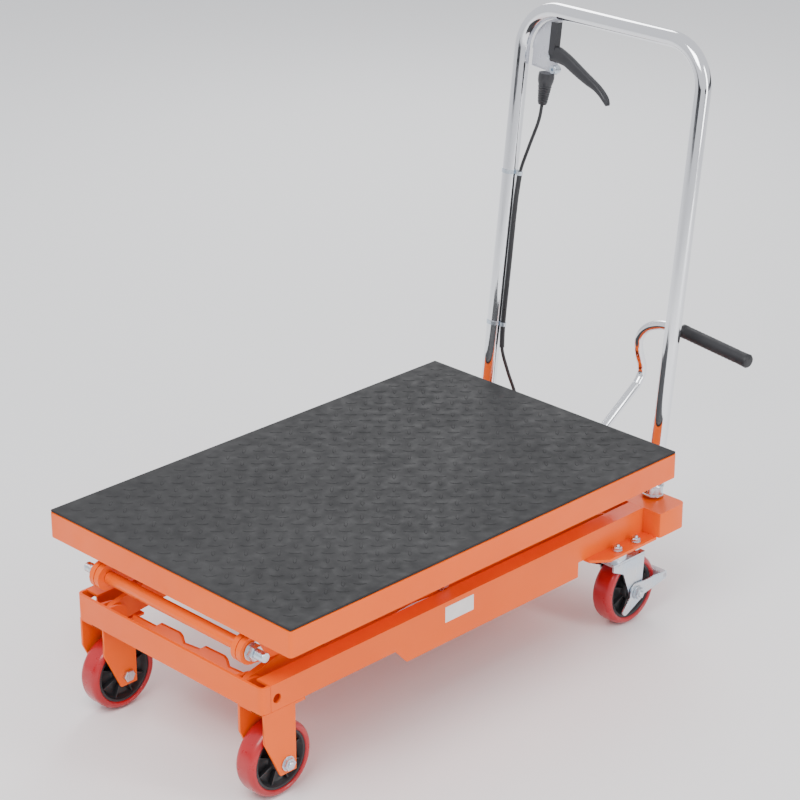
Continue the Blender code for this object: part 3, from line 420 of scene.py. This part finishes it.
# ---- wheels -------------------------------------------------------------------------------------
def wheel(where, body):
    low, high = corners(f"{where[0]}_tyre_{where[1]}")
    centre, radius, half = (low + high) / 2, (high.z - low.z) / 2, (high.y - low.y) / 2
    across = Vector((0, 1, 0))
    depth = 0.0098
    shoulder = [(radius - 0.0070 + 0.0070 * math.sin(t), half - 0.0085 + 0.0085 * math.cos(t))
                for t in [math.radians(a) for a in range(0, 91, 15)]]
    crown = [(radius + 0.00002, 0.0)]
    side = [(radius - depth, half - 0.0022), (radius - depth + 0.0012, half - 0.0006)]
    upper = side + shoulder + crown
    profile = upper + [(r, -h) for r, h in reversed(upper[:-1])]
    bm = bmesh.new()
    add_ring(bm, profile, centre, across, 96)
    tyre = piece(f"{where[0]}_tyre_{where[1]}_moulded", bm, RED, body, 60)
    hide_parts(f"{where[0]}_tyre_{where[1]}")

    rim = radius - depth - 0.0001
    face = [(0.0058, half + 0.0008), (0.0135, half + 0.0008), (0.0142, half), (0.0150, 0.0075),
            (0.0178, 0.0055), (rim - 0.0090, 0.0050), (rim - 0.0062, 0.0068), (rim - 0.0040, half - 0.0035),
            (rim - 0.0030, half - 0.0024), (rim, half - 0.0024)]
    profile = face + [(r, -h) for r, h in reversed(face)]
    bm = bmesh.new()
    add_ring(bm, profile, centre, across, 72)
    for i in range(8):
        for side_sign in (-1, 1):
            turn = Matrix.Rotation(math.radians(45 * i + 22.5), 4, "Y")
            facing = Matrix.Rotation(math.radians(-90 * side_sign), 4, "X")
            matrix = Matrix.Translation(centre) @ turn @ facing
            rib = [(0.0135, -0.0011), (rim - 0.0045, -0.0008), (rim - 0.0045, 0.0008), (0.0135, 0.0011)]
            add_prism(bm, [(rib, 0.0045), (rib, 0.0108), (scaled(rib, 0.985), 0.0114)], matrix)
    hub = piece(f"{where[0]}_hub_{where[1]}_moulded", bm, HUB, body, 40)
    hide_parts(f"{where[0]}_hub_{where[1]}")

    bm = bmesh.new()
    for sign in (-1, 1):
        face_at = centre + across * sign * (half + 0.0005)
        profile = [(0.0056, -0.004), (0.0112, -0.004), (0.0112, 0.0004), (0.0104, 0.0007), (0.0096, 0.0003),
                   (0.0078, 0.0003), (0.0070, 0.0008), (0.0056, 0.0008)]
        add_ring(bm, profile, face_at, across * sign, 40)
    piece(f"{where[0]}_bearing_{where[1]}", bm, STEEL, body)


def axle_bolt(where, body, side):
    """Axle with a hexagon head inside and washer, nut and thread outside the fork."""
    node = f"{where[0]}_axle_{where[1]}"
    low, high = corners(node)
    centre = (low + high) / 2
    out = Vector((0, side, 0))
    outer = high.y if side > 0 else low.y
    inner = low.y if side > 0 else high.y
    bm = bmesh.new()
    start = Vector((centre.x, inner + side * 0.0045, centre.z))
    end = Vector((centre.x, outer - side * 0.0075, centre.z))
    add_lathe(bm, [(0.0, 0.0), (0.0050, 0.0), (0.0050, (end - start).length), (0.0, (end - start).length)],
              start, out, 32)
    add_nut(bm, start, -out, 0.0150, 0.0044)
    add_bolt_end(bm, end, out, 0.0049, 0.0150, 0.0048, 0.0022)
    bolt = piece(f"{node}_bolt", bm, ZINC, body, 30)
    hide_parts(node)


# ---- scissor ------------------------------------------------------------------------------------
def mid_shaft(node, body):
    """Orange spacer tube between the arms, and the plated shaft ends with their washers and nuts."""
    low, high = corners(node)
    centre = (low + high) / 2
    inside, outside, reach = 0.1237, 0.1428, (high.y - low.y) / 2
    bm = bmesh.new()
    add_lathe(bm, [(0.0, -inside), (0.0079, -inside), (0.0085, -inside + 0.0008), (0.0085, inside - 0.0008),
                   (0.0079, inside), (0.0, inside)], centre, (0, 1, 0), 40)
    tube = piece(f"{node}_spacer_tube", bm, ORANGE, body)
    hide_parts(node)
    bm = bmesh.new()
    for sign in (-1, 1):
        out = Vector((0, sign, 0))
        add_lathe(bm, [(0.0, inside), (0.0069, inside), (0.0069, outside), (0.0, outside)], centre, out, 32)
        add_bolt_end(bm, centre + out * outside, out, 0.0066, 0.0190, 0.0085, reach - outside - 0.0108)
    ends = piece(f"{node}_ends", bm, ZINC, body, 30)
    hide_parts(node)


def centre_caps(name, joint, body, reach):
    """Round heads of the pivot pins where two arms cross."""
    centre = joint_at(joint)
    bm = bmesh.new()
    for sign in (-1, 1):
        at = Vector((centre.x, CENTRE_Y + sign * reach, centre.z))
        add_washer(bm, at, (0, sign, 0), 0.0125, 0.0062, 0.0014)
        add_nut(bm, at + Vector((0, sign * 0.0014, 0)), (0, sign, 0), 0.0160, 0.0050)
    piece(name, bm, ZINC, body, 30)


# ---- deck ---------------------------------------------------------------------------------------
def mat_tread():
    """Raised lozenges of the mat, alternating at 45 degrees on a square grid."""
    pitch, length, width, height = 0.0283, 0.0190, 0.0046, 0.0006
    bm = bmesh.new()
    size = DECK_HIGH - DECK_LOW
    nx, ny = int(size.x / pitch), int(size.y / pitch)
    top = DECK_HIGH.z - 0.00005
    lozenge = [(length / 2, 0.0), (length * 0.24, width / 2), (-length * 0.24, width / 2),
               (-length / 2, 0.0), (-length * 0.24, -width / 2), (length * 0.24, -width / 2)]

    def stud(x, y, angle):
        turn = Matrix.Translation((x, y, top)) @ Matrix.Rotation(math.radians(angle), 4, "Z")
        add_prism(bm, [(lozenge, -0.0002), (lozenge, 0.0), (scaled(lozenge, 0.74), height)], turn)

    for i in range(nx):
        for j in range(ny):
            x = DECK_CENTRE.x + (i - (nx - 1) / 2) * pitch
            y = DECK_CENTRE.y + (j - (ny - 1) / 2) * pitch
            stud(x, y, -45)
            if i < nx - 1 and j < ny - 1:
                stud(x + pitch / 2, y + pitch / 2, 45)
    piece("deck_mat_tread", bm, MAT, "deck", 20)


# ---- handle, grip and release -------------------------------------------------------------------
def handle():
    half, bend, steps = HANDLE_HALF, TUBE_BEND, 20
    path = [handle_point(-half, 0.0018), handle_point(-half, 0.12), handle_point(-half, 0.35)]
    for i in range(steps + 1):
        t = math.radians(180 - 90 * i / steps)
        path.append(handle_point(-half + bend + bend * math.cos(t), POST_LENGTH - bend + bend * math.sin(t)))
    for i in range(steps + 1):
        t = math.radians(90 - 90 * i / steps)
        path.append(handle_point(half - bend + bend * math.cos(t), POST_LENGTH - bend + bend * math.sin(t)))
    path += [handle_point(half, 0.35), handle_point(half, 0.12), handle_point(half, 0.0018)]
    bm = bmesh.new()
    add_sweep(bm, path, TUBE_RADIUS, 40)
    tube = piece("handle_tube_polished", bm, CHROME, "base", 50)
    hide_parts("handle_tube")
    for word, side in SIDES:
        foot = handle_point(side * half, 0.0)
        bm = bmesh.new()
        inner = TUBE_RADIUS + 0.0003
        profile = [(inner, 0.0021), (COLLAR_RADIUS, 0.0021), (COLLAR_RADIUS, 0.0040), (0.0138, 0.0050),
                   (0.0138, 0.0150), (0.0146, 0.0158), (0.0146, 0.0176), (0.0138, 0.0186), (inner, 0.0186)]
        add_ring(bm, profile, foot, UP, 48)
        collar = piece(f"handle_collar_{word}_turned", bm, ZINC, "base")
        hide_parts(f"handle_collar_{word}")


PEDAL_ROUTE = [(0.002, 0.0, 0.0028), (0.060, 0.0, 0.0396), (0.130, 0.0, 0.0852), (0.1400, 0.0, 0.0928),
               (0.1462, 0.0, 0.1008), (0.1485, 0.0, 0.1100), (0.1472, 0.0, 0.1195), (0.1422, 0.0, 0.1330),
               (0.1392, 0.0, 0.1470), (0.1385, -0.001, 0.1590), (0.1392, -0.006, 0.1708),
               (0.1406, -0.015, 0.1798), (0.1418, -0.028, 0.1862), (0.1425, -0.044, 0.1898),
               (0.1425, -0.0725, 0.1907), (0.1425, -0.097, 0.1880)]


def pedal():
    pivot = joint_at("pedal_stroke")
    bm = bmesh.new()
    add_sweep(bm, smooth_route([pivot + Vector(p) for p in PEDAL_ROUTE]), 0.0065, 28)
    add_ring(bm, [(0.0054, -0.0098), (0.0100, -0.0098), (0.0105, -0.0093), (0.0105, 0.0093), (0.0100, 0.0098),
                  (0.0054, 0.0098)], pivot, (0, 1, 0), 40)
    cam = [(-0.0038, -0.0080), (0.0038, -0.0080), (0.0038, 0.0080), (-0.0038, 0.0080)]
    add_prism(bm, [(scaled(cam, 0.9), -0.0350), (cam, -0.0342), (cam, -0.0070)], Matrix.Translation(pivot))
    rod = piece("pedal_lever_polished", bm, CHROME, "pedal", 45)
    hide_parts("pedal_lever")

    start, end = pivot + Vector((0.1425, -0.0725, 0.1907)), pivot + Vector((0.1425, -0.1890, 0.1780))
    length, r = (end - start).length, 0.0095
    rib_pitch, rib_depth = 0.003, 0.00025
    ribs = int((length - 0.03) / rib_pitch)
    profile = [(0.0067, 0.0), (r - 0.0008, 0.0), (r, 0.0010), (r, 0.0060), (r - 0.0006, 0.0066),
               (r - 0.0006, 0.0076), (r, 0.0082)]
    profile += [(r - rib_depth * (1 + math.cos(math.pi * i)), 0.012 + i * rib_pitch) for i in range(ribs)]
    profile += [(r, length - 0.0070), (r + 0.0003, length - 0.0030), (r - 0.0014, length - 0.0006),
                (0.0050, length), (0.0, length)]
    bm = bmesh.new()
    add_lathe(bm, profile, start, end - start, 40)
    grip = piece("pedal_grip_moulded", bm, GRIP, "pedal", 50)
    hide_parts("pedal_grip")


CABLE_ACROSS_UP = [(0.1127, 0.4895), (0.1160, 0.4650), (0.1290, 0.4250), (0.1400, 0.3860), (0.1425, 0.3400),
                   (0.1425, 0.2500), (0.1425, 0.1700), (0.1400, 0.1300)]
CABLE_BELOW = [(0.018, 0.1300, 0.2600), (0.022, 0.1180, 0.2250), (0.012, 0.1020, 0.1900),
               (-0.014, 0.0860, 0.1765), (-0.044, 0.0650, 0.1740), (-0.069, 0.0350, 0.1740),
               (-0.082, 0.0110, 0.1735), (-0.088, -0.0040, 0.1725)]


def release():
    route = [handle_point(across, up) for across, up in CABLE_ACROSS_UP]
    route += [Vector((FOOT_X + x, CENTRE_Y + y, z)) for x, y, z in CABLE_BELOW]
    bm = bmesh.new()
    add_sweep(bm, smooth_route(route, 8), 0.0024, 16)
    cable = piece("release_cable_sleeved", bm, SHEATH, "base", 60)
    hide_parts("release_cable")
    bm = bmesh.new()
    add_sweep(bm, smooth_route(route[3:8], 8), 0.0036, 20)
    piece("cable_guard_sleeve", bm, SHEATH, "base", 60)
    bm = bmesh.new()
    for across, up in ((0.1405, 0.3860), (0.1425, 0.1640)):
        post = handle_point(HANDLE_HALF, up)
        add_ring(bm, [(TUBE_RADIUS + 0.0001, -0.0028), (TUBE_RADIUS + 0.0007, -0.0028),
                      (TUBE_RADIUS + 0.0007, 0.0028), (TUBE_RADIUS + 0.0001, 0.0028)], post, UP, 40)
        add_ring(bm, [(0.0037, -0.0028), (0.0045, -0.0028), (0.0045, 0.0028), (0.0037, 0.0028)],
                 handle_point(across, up), UP, 24)
    piece("cable_clips", bm, ZINC, "base", 40)

    top, low = handle_point(0.1100, 0.5345), handle_point(0.1125, 0.4900)
    length = (top - low).length
    profile = [(0.0026, 0.0), (0.0054, 0.0), (0.0060, 0.0008)]
    for i in range(7):
        z = 0.004 + i * 0.0034
        r = 0.0064 + 0.0052 * z / length
        profile += [(r, z), (r + 0.0004, z + 0.0012), (r - 0.0003, z + 0.0020)]
    profile += [(0.0108, length - 0.012), (0.0114, length - 0.006), (0.0108, length), (0.0, length)]
    bm = bmesh.new()
    add_lathe(bm, [(0.0, 0.0), *profile], low, top - low, 36)
    boot = piece("cable_boot_moulded", bm, PLASTIC, "base", 30)
    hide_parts("cable_boot")

    bm = bmesh.new()
    for side, face in ((-1, -0.0100), (1, 0.0138)):
        rivet = handle_point(0.0985, 0.5600, face)
        add_lathe(bm, [(0.0, 0.0), (0.0021, 0.0), (0.0021, 0.0004), (0.0028, 0.0004), (0.0027, 0.0010),
                       (0.0014, 0.0015), (0.0, 0.0016)], rivet, FORWARD * side, 24)
    piece("lever_rivet", bm, ZINC, "base")
    bm = bmesh.new()
    anchor = handle_point(0.0960, 0.5420)
    add_ring(bm, [(0.0022, -0.0060), (0.0054, -0.0060), (0.0060, -0.0054), (0.0060, 0.0054), (0.0054, 0.0060),
                  (0.0022, 0.0060)], anchor, FORWARD, 28)
    piece("cable_anchor", bm, ZINC, "base")


LEVER_SPINE = [(-0.0072, 0.5130, 0.0019), (-0.0052, 0.5168, 0.0031), (-0.0015, 0.5214, 0.0037),
               (0.0050, 0.5270, 0.0042), (0.0150, 0.5334, 0.0050), (0.0280, 0.5390, 0.0064),
               (0.0420, 0.5452, 0.0073), (0.0560, 0.5520, 0.0080), (0.0700, 0.5588, 0.0086),
               (0.0830, 0.5628, 0.0102), (0.0920, 0.5640, 0.0112), (0.1010, 0.5612, 0.0086)]
LEVER_MID = 0.0052


def squeeze_lever():
    """Lofted squeeze lever with a drooping tip, and its upright strip below the handle's bar."""
    spine = smooth_route(LEVER_SPINE, 5)
    bm = bmesh.new()
    rings = []
    for index, at in enumerate(spine):
        before, after = spine[max(index - 1, 0)], spine[min(index + 1, len(spine) - 1)]
        along = Vector((after.x - before.x, after.y - before.y)).normalized()
        width = 0.0034 + 0.0024 * min(1.0, index / 10)
        ring = []
        for k in range(24):
            c, s = math.cos(math.tau * k / 24), math.sin(math.tau * k / 24)
            high = at.z * math.copysign(abs(c) ** 0.6, c)
            deep = width * math.copysign(abs(s) ** 0.6, s)
            rim = handle_point(at.x - along.y * high, at.y + along.x * high, LEVER_MID + deep)
            ring.append(bm.verts.new(rim))
        rings.append(ring)
    for low, high in zip(rings, rings[1:]):
        for k in range(24):
            bm.faces.new((low[k], low[(k + 1) % 24], high[(k + 1) % 24], high[k]))
    bm.faces.new(rings[0])
    bm.faces.new(rings[-1])
    plane = Matrix((Vector((0, 1, 0)), UP, FORWARD)).transposed().to_4x4()
    plane.translation = handle_point(0.0, 0.0)
    strip = [(0.0920, 0.5660), (0.1020, 0.5660), (0.1020, 0.6075), (0.0920, 0.6075)]
    add_prism(bm, [(strip, -0.0006), (strip, 0.0110)], plane)
    lever = piece("release_lever_moulded", bm, PLASTIC, "release", 50)
    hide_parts("release_lever")


# ---- frame fittings -----------------------------------------------------------------------------
def caster_bolts(word, side):
    """Four fixings of a swivel caster: nuts above the mount outside, heads below the plate."""
    low, high = corners(f"caster_top_plate_{word}")
    kingpin_height = 0.0287
    plate_top = low.z + kingpin_height
    centre = joint_at(f"swivel_{word}_turn")
    outer_y, inner_y = centre.y + side * 0.0245, centre.y - side * 0.0115
    bm = bmesh.new()
    for x in (low.x + 0.0155, high.x - 0.0155):
        add_bolt_end(bm, Vector((x, outer_y, FRAME_TOP - 0.0353)), (0, 0, 1), 0.0034, 0.0110, 0.0046, 0.0030)
        for y in (outer_y, inner_y):
            under = Vector((x, y, plate_top - 0.0038))
            add_nut(bm, under, (0, 0, -1), 0.0100, 0.0034)
    piece(f"caster_bolts_{word}", bm, ZINC, "base", 30)
    bm = bmesh.new()
    add_lathe(bm, [(0.0, 0.0), (0.0088, 0.0), (0.0088, -0.0008), (0.0070, -0.0026), (0.0, -0.0030)],
              Vector((centre.x, centre.y, low.z + 0.0002)), (0, 0, 1), 32)
    piece(f"kingpin_rivet_{word}", bm, ZINC, "base")


def brake_details(word, side):
    """Grey pad cover on the foot brake."""
    low, high = corners(f"brake_lever_{word}")
    outer = high.y if side > 0 else low.y
    pad_y = [outer - side * 0.0285, outer + side * 0.0004]
    x0, x1 = high.x - 0.0100, high.x + 0.0016
    z0, z1 = high.z - 0.0150, high.z - 0.0032
    bm = bmesh.new()
    place = Matrix.Translation(((x0 + x1) / 2, sum(pad_y) / 2, (z0 + z1) / 2))
    size = Matrix.Diagonal((x1 - x0, abs(pad_y[1] - pad_y[0]), z1 - z0, 1))
    bmesh.ops.create_cube(bm, size=1.0, matrix=place @ size)
    bmesh.ops.bevel(bm, geom=bm.edges[:], offset=0.0044, segments=5, affect="EDGES", profile=0.5)
    piece(f"brake_pad_{word}", bm, PAD_GREY, f"brake_{word}", 60)


def label_plate():
    """Blank rating label on the left channel."""
    at = Vector((DECK_CENTRE.x - 0.015, CENTRE_Y - 0.17505, FRAME_TOP - 0.0180))
    outline = [(-0.026, -0.011), (0.026, -0.011), (0.026, 0.011), (-0.026, 0.011)]
    bm = bmesh.new()
    add_prism(bm, [(outline, 0.0), (scaled(outline, 0.99), 0.0003)], axis_frame(at, (0, -1, 0)))
    piece("blank_label", bm, LABEL, "base", 30)


def pump_details():
    """Pressure pipe, filler cap and the plunger's return spring."""
    low, high = corners("pump_body")
    foot = joint_at("cylinder_tilt")
    bm = bmesh.new()
    start = foot + Vector((0.0, -0.0262, 0.0))
    route = [start, start + Vector((0.010, -0.004, 0.004)), start + Vector((0.022, -0.008, 0.014)),
             Vector((low.x + 0.002, start.y - 0.012, low.z + 0.024))]
    add_sweep(bm, smooth_route(route), 0.0030, 16)
    add_ring(bm, [(0.0030, -0.0042), (0.0082, -0.0042), (0.0082, 0.0042), (0.0030, 0.0042)],
             start, (0, 1, 0), 24)
    piece("pressure_pipe", bm, STEEL, "base", 40)
    bm = bmesh.new()
    cap_at = Vector(((low.x + high.x) / 2 - 0.006, CENTRE_Y + 0.060, low.z + 0.0368))
    add_lathe(bm, [(0.0, 0.0), (0.0070, 0.0), (0.0070, 0.0040), (0.0060, 0.0052), (0.0, 0.0054)],
              cap_at, (0, 0, 1), 24)
    piece("oil_filler_cap", bm, PLASTIC, "base", 40)
    plunger = corners("pump_plunger")
    mid = middle("pump_plunger")
    x0, x1 = high.x + 0.0006, plunger[1].x - 0.0046
    turns, count = 6, 96
    coil = [Vector((x0 + (x1 - x0) * i / count, mid.y + 0.0079 * math.cos(2 * math.pi * turns * i / count),
                    mid.z + 0.0079 * math.sin(2 * math.pi * turns * i / count))) for i in range(count + 1)]
    bm = bmesh.new()
    add_sweep(bm, coil, 0.0008, 8)
    spring = piece("plunger_spring", bm, STEEL, "base", 60)
    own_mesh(spring)


# ---- dressing the CAD nodes ---------------------------------------------------------------------
for node_name in ("front_plate", "front_cross_plate", "rear_cross_member", "pump_mount_plate", "lift_tube",
                  "side_channel_left", "side_channel_right", "front_fork_left", "front_fork_right",
                  "deck_rail_left", "deck_rail_right"):
    dress(node_name, ORANGE, 0.0008)
for word, side in SIDES:
    for arm in ("lower_inner_arm", "lower_outer_arm", "upper_inner_arm", "upper_outer_arm"):
        dress(f"{arm}_{word}", ORANGE, 0.0009)
    dress(f"caster_top_plate_{word}", ZINC, 0.0005)
    dress(f"caster_fork_{word}", ZINC, 0.0006)
    dress(f"brake_lever_{word}", ZINC, 0.0005)
    dress(f"base_roller_{word}", STEEL, 0.0003)
    dress(f"deck_roller_{word}", STEEL, 0.0003)
dress("deck_pan", ORANGE, 0.0014, 4)
dress("deck_mat", MAT, 0.0008, 3)
dress("upper_centre_shaft", ZINC, 0.0004)
dress("cylinder_barrel", BLACK, 0.0006)
dress("cylinder_rod", CHROME, 0.0004)
dress("pump_body", BLACK, 0.0012, 3)
dress("pump_plunger", STEEL, 0.0004)
dress("valve_lever", ZINC, 0.0004)
dress("lever_bracket", BRACKET, 0.0006)

for word, side in SIDES:
    wheel(("front", word), f"front_wheel_{word}")
    wheel(("rear", word), f"rear_wheel_{word}")
    axle_bolt(("front", word), "base", side)
    axle_bolt(("rear", word), f"swivel_{word}", side)
    caster_bolts(word, side)
    brake_details(word, side)
mid_shaft("front_mid_shaft", "lower_outer_arms")
mid_shaft("rear_mid_shaft", "lower_inner_arms")
centre_caps("lower_centre_caps", "lower_centre", "lower_outer_arms", 0.1451)
mat_tread()
handle()
pedal()
release()
squeeze_lever()
label_plate()
pump_details()


# ---- studio -------------------------------------------------------------------------------------
def studio():
    bm = bmesh.new()
    bmesh.ops.create_grid(bm, x_segments=1, y_segments=1, size=9.0)
    mesh = bpy.data.meshes.new("studio_floor")
    bm.to_mesh(mesh)
    bm.free()
    floor = bpy.data.objects.new("studio_floor", mesh)
    floor.location.z = -0.0006
    paper = finish("studio_paper", (0.93, 0.93, 0.93), 0.8, specular=0.1)
    mesh.materials.append(paper)
    bpy.context.scene.collection.objects.link(floor)

    world = bpy.data.worlds.new("studio")
    bpy.context.scene.world = world
    world.use_nodes = True
    background = world.node_tree.nodes["Background"]
    background.inputs["Color"].default_value = (0.95, 0.96, 1.0, 1.0)
    background.inputs["Strength"].default_value = 1.0

    def soft_light(name, place, energy, size, colour=(1.0, 1.0, 1.0)):
        light = bpy.data.lights.new(name, "AREA")
        light.energy = energy
        light.shape = "RECTANGLE"
        light.size, light.size_y = size
        light.color = colour
        obj = bpy.data.objects.new(name, light)
        obj.location = DECK_CENTRE + Vector(place)
        obj.rotation_euler = (-Vector(place)).to_track_quat("-Z", "Y").to_euler()
        bpy.context.scene.collection.objects.link(obj)

    soft_light("key_light", (-1.6, -0.6, 2.2), 60.0, (1.4, 1.4))
    soft_light("side_light", (0.6, -2.4, 0.9), 26.0, (0.5, 2.2))
    soft_light("rim_light", (1.8, 1.6, 1.6), 24.0, (0.7, 1.8))


def dark_cards():
    """Three dark upright cards round the table, for the streaks in the polished chrome."""
    charcoal = finish("charcoal_card", (0.02, 0.02, 0.022), 0.8, specular=0.1)
    places = (("card_left", (-2.9, 0.5, 0.3)), ("card_right", (0.4, -3.2, 0.3)),
              ("card_back", (2.6, -1.2, 0.3)))
    for name, place in places:
        bm = bmesh.new()
        bmesh.ops.create_grid(bm, x_segments=1, y_segments=1, size=1.0)
        mesh = bpy.data.meshes.new(name)
        bm.to_mesh(mesh)
        bm.free()
        mesh.materials.append(charcoal)
        card = bpy.data.objects.new(name, mesh)
        turn = (-Vector((place[0], place[1], 0.0))).to_track_quat("Z", "Y").to_matrix().to_4x4()
        size = Matrix.Diagonal((1.4, 0.22, 1.0, 1.0))
        card.matrix_world = Matrix.Translation(DECK_CENTRE + Vector(place)) @ turn @ size
        bpy.context.scene.collection.objects.link(card)


def camera():
    """Long lens, seen from the front left corner, a little above the deck."""
    azimuth, elevation = math.radians(-45.0), math.radians(23.4)
    right = Vector((math.cos(azimuth), math.sin(azimuth), 0.0))
    level = Vector((-math.sin(azimuth), math.cos(azimuth), 0.0))
    back = -level * math.cos(elevation) + Vector((0, 0, math.sin(elevation)))
    up = back.cross(right)
    lens = bpy.data.cameras.new("camera")
    lens.lens = 112.5
    lens.sensor_width = 36.0
    obj = bpy.data.objects.new("camera", lens)
    obj.matrix_world = Matrix((right, up, back)).transposed().to_4x4()
    obj.location = DECK_CENTRE + 0.0377 * right + 0.1033 * up + 3.245 * back
    bpy.context.scene.collection.objects.link(obj)
    bpy.context.scene.camera = obj


studio()
dark_cards()
camera()
